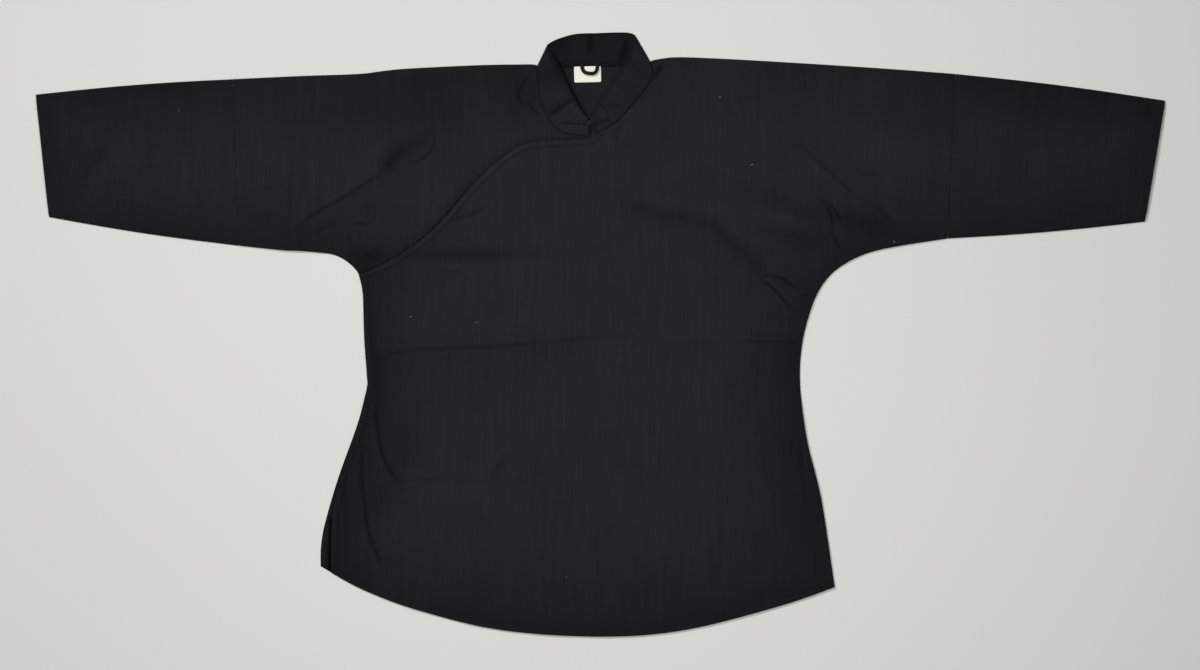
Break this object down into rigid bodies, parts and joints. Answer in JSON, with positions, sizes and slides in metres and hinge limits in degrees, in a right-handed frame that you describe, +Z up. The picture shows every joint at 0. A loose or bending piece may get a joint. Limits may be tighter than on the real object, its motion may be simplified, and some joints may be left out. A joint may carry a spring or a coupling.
{
  "type": "traditional chinese side-closing shirt, laid flat",
  "caption": "Long-sleeved cotton shirt laid flat, front up, with a slanting side closing, a stand-up collar and side vents.",
  "frame": {"origin": "on the table, below the middle of the shirt's box", "axes": "+X towards the wearer's left cuff, +Y towards the collar, +Z up from the table through the layers"},
  "size_m": [1.411, 0.7549, 0.018],
  "materials": {
    "black_cotton": "matte plain-woven cotton with fine upright slubs",
    "black_braid": "matte bias cord",
    "cream_tape": "smooth woven tape, bare"
  },
  "bodies": {
    "root": {"back": "black_cotton", "right_front": "black_cotton", "under_flap": "black_cotton", "outer_front": "black_cotton", "right_sleeve_end": "black_cotton", "left_sleeve_end": "black_cotton", "collar_band": "black_cotton", "frog_knot_strap": "black_braid", "frog_loop_strap": "black_braid", "frog_knot": "black_braid", "hanging_loop": "black_braid", "neck_label": "cream_tape"}
  },
  "joints": []
}
